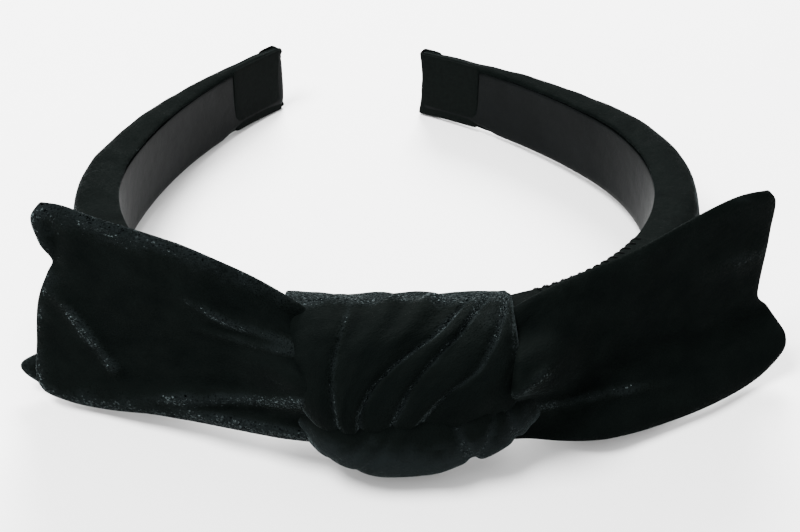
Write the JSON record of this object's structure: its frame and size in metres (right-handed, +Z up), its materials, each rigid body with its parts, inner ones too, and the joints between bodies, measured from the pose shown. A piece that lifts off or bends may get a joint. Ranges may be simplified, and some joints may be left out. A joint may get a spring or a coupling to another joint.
{
  "type": "bow headband",
  "caption": "Padded velvet headband, open at the back, with a knotted bow of two double-layer tails at the crown; its arms flex outwards.",
  "frame": {"origin": "middle of the bounding box in plan, on the table that the headband lies on", "axes": "+X towards the wearer's right-hand tail as seen from the front of the bow, +Y from the bow to the open tips, +Z up from the table, which is nearly across the band"},
  "size_m": [0.1716, 0.1559, 0.0526],
  "materials": {
    "velvet": "crushed velvet pile, near black with cool grey highlights",
    "satin_lining": "smooth satin weave, soft broad highlight",
    "end_tab": "matte woven binding",
    "hoop_plastic": "satin moulded",
    "foam": "open-cell foam",
    "thread": "twisted polyester thread"
  },
  "bodies": {
    "crown": {"crown_lining": "satin_lining", "crown_hoop": "hoop_plastic", "crown_foam": "foam", "crown_cover": "velvet", "knot_wrap": "velvet", "knot_roll": "velvet", "left_tail_front": "velvet", "left_tail_back": "velvet", "right_tail_front": "velvet", "right_tail_back": "velvet", "left_edge_stitches": "thread", "right_edge_stitches": "thread", "tack_stitches": "thread"},
    "left_arm": {"left_arm_lining": "satin_lining", "left_arm_hoop": "hoop_plastic", "left_arm_foam": "foam", "left_arm_cover": "velvet", "left_end_tab": "end_tab"},
    "right_arm": {"right_arm_lining": "satin_lining", "right_arm_hoop": "hoop_plastic", "right_arm_foam": "foam", "right_arm_cover": "velvet", "right_end_tab": "end_tab"}
  },
  "joints": [
    {"name": "left_arm_flex", "type": "hinge", "parent": "crown", "child": "left_arm", "pos_m": [-0.06116, -0.02413, 0.01742], "axis": [0, 0.0802, 0.9968], "range_deg": [-8, 25], "stiffness_Nm_per_rad": 0.31},
    {"name": "right_arm_flex", "type": "hinge", "parent": "crown", "child": "right_arm", "pos_m": [0.05556, -0.02413, 0.01742], "axis": [0, -0.0802, -0.9968], "range_deg": [-8, 25], "stiffness_Nm_per_rad": 0.31}
  ]
}
